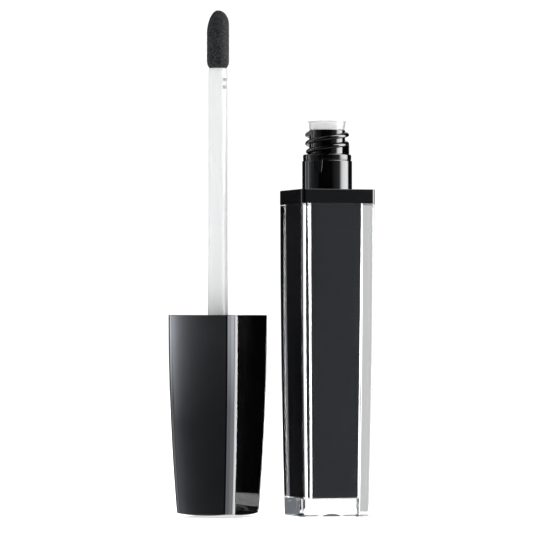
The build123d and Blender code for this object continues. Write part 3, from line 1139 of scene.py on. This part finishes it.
    def hollow_stem(self) -> None:
        """Stem: outer and inner wall on one grid, with the snap window's cells left out and its four sides closed."""
        columns, half_window = 96, 6
        chamfer, chamfer_depth, ease = 0.8, 0.25, 0.12
        taper_low, taper_length = 44.0, 16.0
        heights = np.array(
            [self.stem_low, self.stem_low + 0.2, 26.0, 30.0, 36.0, taper_low, 46.0, 48.0, 51.0, 54.0, 57.0, 60.0, 70.0,
             80.0, 90.0, self.window_low - 1.0, self.window_low, self.window_low + 0.8, self.window_high - 0.8,
             self.window_high, self.window_high + 0.6, self.stem_top - chamfer - 0.05, self.stem_top - chamfer,
             self.stem_top - chamfer + 0.1, self.stem_top - ease, self.stem_top]
        )
        taper = np.clip((heights - taper_low) / taper_length, 0, 1)
        outer = self.stem_foot + (self.stem - self.stem_foot) * taper * taper * (3 - 2 * taper)
        outer = outer - chamfer_depth * np.clip((heights - (self.stem_top - chamfer)) / chamfer, 0, 1) ** 1.5
        angle = math.radians(self.window_turn) + 2 * math.pi * np.arange(columns) / columns
        circle = np.stack([np.cos(angle), np.sin(angle)], axis=1)
        rows = len(heights)

        def wall(radii: Array) -> Array:
            """Points of one wall, row by row."""
            ring = radii[:, None, None] * circle
            rise = np.broadcast_to(heights[:, None, None], (rows, columns, 1))
            return (np.concatenate([ring, rise], axis=2) * MM).reshape(-1, 3)

        points = np.vstack([wall(outer), wall(np.full_like(outer, self.stem_bore))])
        shift = rows * columns
        first = int(np.searchsorted(heights, self.window_low))
        last = int(np.searchsorted(heights, self.window_high))
        window = {(i, j % columns) for i in range(first, last) for j in range(-half_window, half_window)}
        faces: Faces = []

        def at(i: int, j: int) -> int:
            """Index of an outer point."""
            return i * columns + j % columns

        def join(i: int, j: int, k: int, m: int) -> None:
            """Closes the wall's thickness along the edge from the outer point (i, j) to (k, m)."""
            faces.append((at(i, j), at(k, m), at(k, m) + shift, at(i, j) + shift))

        for i in range(rows - 1):
            for j in (j for j in range(columns) if (i, j) not in window):
                quad = (at(i, j), at(i, j + 1), at(i + 1, j + 1), at(i + 1, j))
                faces += [quad, tuple(k + shift for k in quad[::-1])]
        for j in range(columns):
            join(rows - 1, j, rows - 1, j + 1)
            join(0, j + 1, 0, j)
        for j in range(-half_window, half_window):
            join(first, j, first, j + 1)
            join(last, j + 1, last, j)
        for i in range(first, last):
            join(i + 1, -half_window, i, -half_window)
            join(i, half_window, i + 1, half_window)
        surface = faceted(points, faces).on(self.upright)
        natural = NaturalPlastic("stem_natural", colour=rgb(0.84, 0.845, 0.85), through=0.25, roughness=0.25)
        present("hollow_stem", surface, natural.material(), Body.WAND, ["stem"], sharp=35.0)

    def core(self) -> None:
        """Core: plug in the stem, shoulder and body under the flock, with the barb that snaps into the window."""
        body, plug = self.tip - 0.55, 1.17
        barb_rise, barb_depth, barb_reach = 1.0, 0.85, 1.0
        low, high = node_span("tip_core")
        corners = [
            (0.0, low, 0.0),
            (plug, low, 0.2),
            (plug, self.stem_top, 0.05),
            (1.6, self.stem_top, 0.1),
            (body, self.stem_top + 1.6, 0.5),
            (body, high - 2.8, 1.2),
            (body * 0.62, high - 0.7, 0.6),
            (0.0, high - 0.5, 0.0),
        ]
        surface = lathe(filleted(corners), 72)
        outline = np.array([(-0.5, 0), (0, 0), (0.5, 0), (0.5, 0.5), (0.5, 1.0), (0, 1.0), (-0.5, 1.0), (-0.5, 0.5)])
        barb = rounded_pad(outline * MM, barb_depth * MM, 0.15 * MM)
        reach = barb_reach * MM + barb.vertices[:, 2]
        angle = math.radians(self.window_turn)
        across = barb.vertices[:, 0]
        height = (self.window_low + self.window_high - barb_rise) / 2 * MM + barb.vertices[:, 1]
        x = reach * math.cos(angle) - across * math.sin(angle)
        y = reach * math.sin(angle) + across * math.cos(angle)
        surface = surface + faceted(np.stack([x, y, height], axis=1), barb.faces)
        natural = NaturalPlastic("core_natural", colour=rgb(0.78, 0.79, 0.80), through=0.1, roughness=0.35)
        present("tip_plug", surface.on(self.upright), natural.material(), Body.WAND, ["tip_core"])

    def tip_radius(self, share: Array, angle: Array) -> Array:
        """Radius of the flocked body at a share of its height, in millimetres.

        The foot grows from a share of the full radius to all of it as foot_share + (1 - foot_share) * (1 -
        (1 - t) ** 2.2), where t runs over the foot's height. The nose is an oval, higher on the slanted left than on
        the right: the left's share is half of 1 plus the cosine of the angle from the left.

        Args:
            share: share of the tip's height, from 0 at its foot to 1 at its apex.
            angle: angle about the wand's axis.

        Returns:
            The radius at each share and angle.
        """
        foot_height, foot_share = 1.6, 0.74
        right_nose, more_left = 3.2, 1.9
        full = self.tip_top - self.stem_top
        height = share * full
        foot = np.clip(height / foot_height, 0, 1)
        foot = 1 - (1 - foot_share) * (1 - foot) ** 2.2
        left = 0.5 + 0.5 * np.cos(angle - math.radians(self.slant_turn))
        nose = right_nose + more_left * left**2
        into = np.clip((height - (full - nose)) / nose, 0, 1)
        power = 2.0 - 0.25 * left
        cap = np.clip(1 - into**power, 0, 1) ** 0.5
        return (self.tip - self.fibre) * foot * cap

    def flock(self) -> None:
        """Flocked tip: a body with a fine lumpy skin, and thousands of short bent fibres that stand on it."""
        rows, columns, lump = 70, 96, 0.012
        share = 1 - (1 - np.linspace(0, 1, rows)) ** 1.6
        angle = np.linspace(0, 2 * math.pi, columns, endpoint=False)
        grid_share, grid_angle = np.meshgrid(share, angle, indexing="ij")
        radius = self.tip_radius(grid_share, grid_angle)
        rng = np.random.default_rng(self.seed)
        lumps = rng.normal(0, lump, radius.shape) * (radius > 0.3)
        radius = np.maximum(radius + lumps, 0.0)
        height = self.stem_top + grid_share * (self.tip_top - self.fibre * 0.6 - self.stem_top)
        points = np.stack([radius * np.cos(grid_angle), radius * np.sin(grid_angle), height], axis=-1) * MM
        body = points[:-1].reshape(-1, 3)
        faces = grid_faces(rows - 1, columns)
        pole, foot = len(body), len(body) + 1
        body = np.vstack([body, [[0, 0, points[-1, 0, 2]]], [[0, 0, self.stem_top * MM]]])
        base = (rows - 2) * columns
        faces += [(base + j, base + (j + 1) % columns, pole) for j in range(columns)]
        faces += [((j + 1) % columns, j, foot) for j in range(columns)]
        flock = Flock().material()
        surface = faceted(body, faces).on(self.upright)
        present("flocked_tip", surface, flock, Body.WAND, ["flock_sleeve"])
        present("flock_fibres", self.fibre_field(rng).on(self.upright), flock, Body.WAND, sharp=60.0)

    def fibre_field(self, rng: np.random.Generator) -> Surface:
        """Fibres that stand on the tip: each is a three-sided spike with one bend.

        A fibre's root is at a random height and angle, drawn a little more often near the apex. It leaves along the
        surface normal plus a random lean, and its upper part leans a little further.

        Args:
            rng: source of the random draws.

        Returns:
            All the fibres, with empty normals.
        """
        count = self.fibres
        lean, bend = 0.42, 0.35
        sunk, elbow, upper, waist = 0.03, 0.55, 0.4, 0.8
        share = np.clip(1 - (1 - rng.random(count)) ** 1.15, 0.01, 0.995)
        angle = rng.random(count) * 2 * math.pi
        full = self.tip_top - self.fibre * 0.6 - self.stem_top
        small = 1e-3

        def spot(s: Array, a: Array) -> Array:
            """Point of the body at a share and an angle."""
            r = self.tip_radius(s, a)
            return np.stack([r * np.cos(a), r * np.sin(a), self.stem_top + s * full], axis=1)

        root = spot(share, angle)
        along = spot(np.clip(share + small, 0, 0.9999), angle) - root
        around = spot(share, angle + small * 5) - root
        normal = np.cross(around, along)
        normal /= np.linalg.norm(normal, axis=1, keepdims=True) + 1e-12
        way = normal + rng.normal(0, lean, (count, 3))
        way /= np.linalg.norm(way, axis=1, keepdims=True)
        bent = way + rng.normal(0, bend, (count, 3))
        bent /= np.linalg.norm(bent, axis=1, keepdims=True)
        length = (self.fibre * (0.65 + 0.35 * rng.random(count)))[:, None]
        side = np.cross(way, rng.normal(0, 1, (count, 3)))
        side /= np.linalg.norm(side, axis=1, keepdims=True) + 1e-12
        other = np.cross(way, side)
        thick = (0.016 + 0.008 * rng.random(count))[:, None]
        turns = [0.0, 2 * math.pi / 3, 4 * math.pi / 3]
        around = [side * math.cos(k) + other * math.sin(k) for k in turns]
        middle = root + way * length * elbow
        low = [root - normal * sunk + thick * k for k in around]
        mid = [middle + waist * thick * k for k in around]
        points = np.stack([*low, *mid, middle + bent * length * upper], axis=1) * MM
        pattern = [(0, 1, 4, 3), (1, 2, 5, 4), (2, 0, 3, 5), (3, 4, 6), (4, 5, 6), (5, 3, 6), (2, 1, 0)]
        starts = np.arange(count) * 7
        faces = [tuple(row) for cell in pattern for row in (starts[:, None] + np.array(cell)).tolist()]
        flat = points.reshape(-1, 3)
        return Surface(flat, faces, np.zeros_like(flat))


# -------------------------------------------------------------------------------------------------------------- studio
@dataclass(frozen=True)
class Panel:
    """An upright light on an arc about an axis: angles in degrees to the right of the camera, lengths in metres.

    Its fade is a low height, a high one and the share of its glare that is left under the low one. Its fall is two
    distances along it and the ease of the fall between them.
    """

    turn: float
    span: float
    glare: float
    reach: float = 0.6
    low: float = -0.25
    high: float = 0.35
    fade: tuple[float, float, float] = (-0.022, 0.034, 0.38)
    fall: Optional[tuple[float, float, float]] = None


@dataclass
class Studio:
    """Camera, pale floor and soft light, in metres.

    Angles are degrees to the right of the way from the object to the camera. The two grades give the world's
    brightness over that angle: what surfaces mirror, and what the clear case refracts.
    """

    camera_turn: float = -17.0
    distance: float = 0.9305
    eye_height: float = 0.0446
    focal: float = 276.9
    shift_y: float = 0.0985
    look_right: float = -0.013765
    floor_size: float = 1.6
    near_floor: float = 0.085
    glare: Grade = (
        (-180, 1.0), (-172, 1.0), (-166, 0.02), (-133, 0.02), (-122, 0.12), (-120, 3.0), (-116, 3.0),
        (-113, 0.22), (-105, 0.22), (-102, 2.4), (-95, 2.2), (-91, 0.6), (-82, 0.46), (-73, 0.3), (-60, 0.19),
        (-45, 0.13), (-37, 0.0), (20, 0.0), (33, 0.22), (53, 0.45), (60, 1.0), (67, 9.0), (76, 14.0),
        (96, 14.0), (110, 9.0), (114, 0.02), (160, 0.02), (168, 1.0), (180, 1.0),
    )
    refracted: Grade = (
        (-180, 1.12), (-157, 1.05), (-150, 0.62), (-136, 0.55), (-126, 2.6), (-104, 1.1), (-90, 0.6),
        (-77, 0.36), (-65, 0.21), (-44, 0.15), (-36, 0.0), (20, 0.0), (33, 0.24), (53, 0.45), (60, 1.0),
        (67, 9.0), (76, 14.0), (96, 14.0), (110, 9.0), (114, 0.02), (152, 0.02), (157, 1.05), (180, 1.12),
    )
    even: float = 1.08
    floor_glow: float = 0.6
    steep: tuple[float, float] = (-0.32, -0.55)
    cool: tuple[float, float, float] = (0.94, 0.99, 1.07)
    panels: tuple[Panel, ...] = (
        Panel(turn=-4.5, span=41.0, glare=6.5),
        Panel(turn=37.0, span=42.0, glare=9.0),
        Panel(
            turn=-56.0, span=30.0, reach=0.12, low=-0.03, high=0.07, glare=0.37, fade=(0.012, 0.04, 0.2),
            fall=(0.0042, -0.007, 0.238),
        ),
        Panel(turn=-93.0, span=44.0, reach=0.12, low=-0.03, high=0.07, glare=5.5, fade=(0.02, 0.04, 0.1)),
    )
    flag_span: tuple[float, float] = (-0.016, -0.0062)
    flag_depth: float = 0.012
    flag_height: float = 0.072

    def build(self, cap: bpy.types.Object) -> None:
        """Makes the camera, the floor, the world's light and the lights of the cap."""
        self.camera()
        self.floor()
        self.flag()
        self.world()
        self.cap_lights(cap)

    def camera(self) -> None:
        """A long lens that looks level from the eye height, shifted up to hold the wand's tip."""
        turn = math.radians(self.camera_turn)
        back = Vector((math.sin(turn), -math.cos(turn), 0.0))
        right = Vector((math.cos(turn), math.sin(turn), 0.0))
        data = bpy.data.cameras.new("camera")
        data.sensor_width = 36.0
        data.lens = self.focal
        data.shift_y = self.shift_y
        data.clip_start, data.clip_end = 0.05, 20.0
        camera = bpy.data.objects.new("camera", data)
        camera.location = back * self.distance + right * self.look_right + Vector((0, 0, self.eye_height))
        camera.rotation_euler = (math.pi / 2, 0.0, turn)
        bpy.context.scene.collection.objects.link(camera)
        bpy.context.scene.camera = camera

    def floor(self) -> None:
        """A pale, faintly mottled floor: a disc near the pieces, which the clear base shows, and a ring round it."""
        s = Shader("pale_floor")
        tone = s.blend(s.noise(30.0, 2.0), rgb(0.93, 0.93, 0.93), rgb(0.95, 0.95, 0.95))
        glow = rgb(1.0, 1.0, 1.0)
        shader = s.principled(Base_Color=tone, Roughness=0.6, Emission_Color=glow, Emission_Strength=self.floor_glow)
        pale = s.finish(shader)
        count = 12
        for name, inner, outer in (("floor", self.near_floor, self.floor_size), ("floor_near", 0.0, self.near_floor)):
            line = np.stack([np.linspace(inner, outer, count), np.zeros(count)], axis=1)
            disc = lathe(Profile(line, np.tile([-1.0, 0.0], (count, 1)), np.ones(count)), 96)
            disc.faces = [f[::-1] for f in disc.faces]
            floor = make_piece(name, disc, 30.0)
            floor.data.materials.append(pale)
            floor.location.z = -0.00002
            floor.visible_glossy = False
            floor.visible_transmission = name == "floor_near"

    def world(self) -> None:
        """Even white for the eye and for soft light, and the studio's panels for reflections.

        A panel's brightness depends on the compass angle of the direction alone: the angle is found with
        arctan2 of the direction, counted from the camera, and looked up on a ramp. What the clear case refracts has
        a ramp of its own, because its walls look past the flags that shade the black pieces. Directions steeper
        than the floor's far edge see the white floor instead.
        """
        world = bpy.data.worlds.new("studio")
        bpy.context.scene.world = world
        world.use_nodes = True
        tree = world.node_tree
        tree.nodes.clear()

        def node(kind: str, settings: Links, inputs: Links, out: Any = 0) -> Socket:
            """Adds a node to the world."""
            return Shader.node_in(tree, kind, settings, inputs, out)

        direction = node("ShaderNodeTexCoord", {}, {}, "Generated")
        east = node("ShaderNodeSeparateXYZ", {}, {"Vector": direction}, 0)
        north, rise = (Socket(tree, east.output.node.outputs[k]) for k in (1, 2))
        angle = node("ShaderNodeMath", {"operation": "ARCTAN2"}, {0: north, 1: east})
        centred = (angle * (180 / math.pi) - (self.camera_turn - 90)) + 540.0
        share = node("ShaderNodeMath", {"operation": "MODULO"}, {0: centred, 1: 360.0}) * (1 / 360.0)

        def panels(glare: Sequence[tuple[float, float]]) -> Socket:
            """Background with a ramp's brightness."""
            peak = max(v for _, v in glare)
            stops = [
                ((a + 180) / 360, tuple(v / peak * t for t in (self.cool if v < 0.5 else (1.0, 1.0, 1.0))))
                for a, v in glare
            ]
            ramp = node("ShaderNodeValToRGB", {"stops": stops}, {"Fac": share})
            return node("ShaderNodeBackground", {}, {"Color": ramp, "Strength": peak})

        even = node("ShaderNodeBackground", {}, {"Color": rgb(1.0, 1.0, 1.0), "Strength": self.even})
        glossy = node("ShaderNodeLightPath", {}, {}, "Is Glossy Ray")
        through = Socket(tree, glossy.output.node.outputs["Is Transmission Ray"])
        either = node("ShaderNodeMath", {"operation": "MAXIMUM"}, {0: glossy, 1: through})
        seen = node("ShaderNodeMixShader", {}, {0: through, 1: panels(self.glare), 2: panels(self.refracted)})
        steep = node("ShaderNodeMapRange", {}, {"Value": rise, "From Min": self.steep[0], "From Max": self.steep[1]})
        lower = node("ShaderNodeMixShader", {}, {0: steep, 1: seen, 2: even})
        mixed = node("ShaderNodeMixShader", {}, {0: either, 1: even, 2: lower})
        node("ShaderNodeOutputWorld", {}, {"Surface": mixed})

    def cap_lights(self, cap: bpy.types.Object) -> None:
        """Tall panels round the cap's front corner, and a graded card for its wide face; they light the cap alone.

        Args:
            cap: the piece that they light.
        """
        only = bpy.data.collections.new("cap_only")
        only.objects.link(cap)
        x, y = node_centre("stem")
        for number, panel in enumerate(self.panels):
            self.panel(f"panel_{number}", Vector((x, y, 0.0)), panel, only)

    def panel(self, name: str, about: Vector, panel: Panel, only: bpy.types.Collection) -> None:
        """One upright panel that faces an axis.

        Its brightness grows with height, from a share of the full one below its fade to all of it above, and it may
        fall off sideways as 1 / (f + ease)^2, where f runs from 0 to 1 between two distances from its middle.

        Args:
            name: its name.
            about: the axis that it faces.
            panel: its place, size and brightness.
            only: the pieces that it lights.
        """
        width = 2 * panel.reach * math.tan(math.radians(panel.span / 2))
        data = bpy.data.lights.new(name, "AREA")
        data.shape = "RECTANGLE"
        data.size, data.size_y = width, panel.high - panel.low
        data.energy = AREA_GLARE * width * data.size_y
        data.use_nodes = True
        tree = data.node_tree
        tree.nodes.clear()

        def node(kind: str, settings: Links, inputs: Links, out: Any = 0) -> Socket:
            """Adds a node to the light."""
            return Shader.node_in(tree, kind, settings, inputs, out)

        way = math.radians(self.camera_turn - 90 + panel.turn)
        place = node("ShaderNodeNewGeometry", {}, {}, "Position")
        from_axis = node("ShaderNodeVectorMath", {"operation": "SUBTRACT"}, {0: place, 1: tuple(about)})
        height = node("ShaderNodeSeparateXYZ", {}, {"Vector": place}, 2)
        low, high, share = panel.fade
        fade = node("ShaderNodeMapRange", {}, {"Value": height, 1: low, 2: high, 3: share, 4: 1.0})
        strength = fade * panel.glare
        if panel.fall:
            near, far, ease = panel.fall
            side = (math.sin(way), -math.cos(way), 0.0)
            across = node("ShaderNodeVectorMath", {"operation": "DOT_PRODUCT"}, {0: from_axis, 1: side}, "Value")
            f = node("ShaderNodeMapRange", {"clamp": True}, {"Value": across, 1: near, 2: far, 3: 0.0, 4: 1.0})
            strength = strength * (f + ease) ** -2.0
        glow = node("ShaderNodeEmission", {}, {"Color": rgb(*self.cool), "Strength": strength})
        node("ShaderNodeOutputLight", {}, {"Surface": glow})
        light = bpy.data.objects.new(name, data)
        light.location = about + Vector((math.cos(way), math.sin(way), 0.0)) * panel.reach
        light.location.z = (panel.low + panel.high) / 2
        light.rotation_euler = (math.pi / 2, 0.0, way + math.pi / 2)
        light.visible_camera = light.visible_transmission = light.visible_diffuse = False
        light.light_linking.receiver_collection = only
        bpy.context.scene.collection.objects.link(light)

    def flag(self) -> None:
        """A nearly black flag behind the tube's left corner, seen only in reflections and through the clear case."""
        (x0, x1), y, top = self.flag_span, self.flag_depth, self.flag_height
        corners = np.array([(x0, y, 0), (x1, y, 0), (x1, y, top), (x0, y, top)], float)
        flag = make_piece("flag", faceted(corners, [(0, 1, 2, 3)]), 30.0)
        s = Shader("black_cloth")
        tone = s.blend(s.noise(2000.0, 2.0), rgb(0.02, 0.02, 0.022), rgb(0.024, 0.024, 0.026))
        flag.data.materials.append(s.finish(s.principled(Base_Color=tone, Roughness=1.0, Specular_IOR_Level=0.0)))
        flag.visible_camera = flag.visible_diffuse = flag.visible_shadow = False


def main() -> None:
    """Builds the tube, the wand and the studio in order."""
    scene = bpy.context.scene
    scene.view_settings.view_transform = "Standard"
    Tube().build()
    wand = Wand()
    wand.build()
    Studio().build(wand.shell)


if __name__ == "__main__":
    main()
